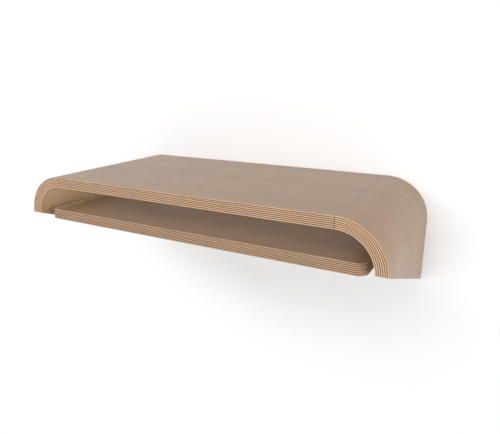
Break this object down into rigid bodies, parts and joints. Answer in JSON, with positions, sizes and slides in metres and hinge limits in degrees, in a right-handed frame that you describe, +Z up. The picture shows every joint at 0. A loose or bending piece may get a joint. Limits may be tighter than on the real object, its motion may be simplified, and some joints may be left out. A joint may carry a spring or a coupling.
{
  "type": "floating wall desk",
  "caption": "Wall-hung desk of bent plywood: a flat top whose ends bend down into tapering sides, with a pull-out tray on ball-bearing slides below it.",
  "frame": {"origin": "middle of the row of wall bolts, on the wall", "axes": "+Z up, +Y into the wall, the desk's front faces -Y, +X to the right as seen from the front"},
  "size_m": [1.016, 0.457, 0.288],
  "materials": {
    "veneered_plywood": "matt clear lacquer on a grey-brown veneer, edges show the plies",
    "birch_plywood": "sanded",
    "beech": "planed",
    "zinc_steel": "zinc plated strip",
    "retainer_steel": "plain",
    "ball_steel": "polished",
    "zinc_screw": "zinc plated",
    "rubber": "matt"
  },
  "bodies": {
    "desk": {"top_panel": "veneered_plywood", "right_bent_side": "veneered_plywood", "left_bent_side": "veneered_plywood", "right_seam_dowels": "beech", "left_seam_dowels": "beech", "back_panel": "birch_plywood", "back_panel_dowels": "beech", "desk_cleat": "birch_plywood", "desk_cleat_screws": "zinc_screw", "wall_cleat": "birch_plywood", "right_slide_spacer": "beech", "right_slide_screws": "zinc_screw", "right_slide_outer": "zinc_steel", "right_slide_bumper": "rubber", "left_slide_spacer": "beech", "left_slide_screws": "zinc_screw", "left_slide_outer": "zinc_steel", "left_slide_bumper": "rubber"},
    "tray": {"tray_board": "veneered_plywood", "right_tray_screws": "zinc_screw", "right_slide_inner": "zinc_steel", "left_tray_screws": "zinc_screw", "left_slide_inner": "zinc_steel"},
    "right_middle_member": {"right_slide_middle": "zinc_steel"},
    "right_outer_ball_set": {"right_outer_balls": "ball_steel", "right_outer_retainers": "retainer_steel"},
    "right_inner_ball_set": {"right_inner_balls": "ball_steel", "right_inner_retainers": "retainer_steel"},
    "left_middle_member": {"left_slide_middle": "zinc_steel"},
    "left_outer_ball_set": {"left_outer_balls": "ball_steel", "left_outer_retainers": "retainer_steel"},
    "left_inner_ball_set": {"left_inner_balls": "ball_steel", "left_inner_retainers": "retainer_steel"}
  },
  "joints": [
    {"name": "tray_slide", "type": "slide", "parent": "desk", "child": "tray", "axis": [0, -1, 0], "range_m": [0, 0.23]},
    {"name": "right_middle_member_slide", "type": "slide", "parent": "desk", "child": "right_middle_member", "axis": [0, -1, 0], "range_m": [0, 0.115]},
    {"name": "right_outer_ball_set_slide", "type": "slide", "parent": "desk", "child": "right_outer_ball_set", "axis": [0, -1, 0], "range_m": [0, 0.0575]},
    {"name": "right_inner_ball_set_slide", "type": "slide", "parent": "desk", "child": "right_inner_ball_set", "axis": [0, -1, 0], "range_m": [0, 0.1725]},
    {"name": "left_middle_member_slide", "type": "slide", "parent": "desk", "child": "left_middle_member", "axis": [0, -1, 0], "range_m": [0, 0.115]},
    {"name": "left_outer_ball_set_slide", "type": "slide", "parent": "desk", "child": "left_outer_ball_set", "axis": [0, -1, 0], "range_m": [0, 0.0575]},
    {"name": "left_inner_ball_set_slide", "type": "slide", "parent": "desk", "child": "left_inner_ball_set", "axis": [0, -1, 0], "range_m": [0, 0.1725]}
  ],
  "couplings": [
    {"joint": "right_middle_member_slide", "follows": "tray_slide", "ratio": 0.5},
    {"joint": "right_outer_ball_set_slide", "follows": "tray_slide", "ratio": 0.25},
    {"joint": "right_inner_ball_set_slide", "follows": "tray_slide", "ratio": 0.75},
    {"joint": "left_middle_member_slide", "follows": "tray_slide", "ratio": 0.5},
    {"joint": "left_outer_ball_set_slide", "follows": "tray_slide", "ratio": 0.25},
    {"joint": "left_inner_ball_set_slide", "follows": "tray_slide", "ratio": 0.75}
  ]
}
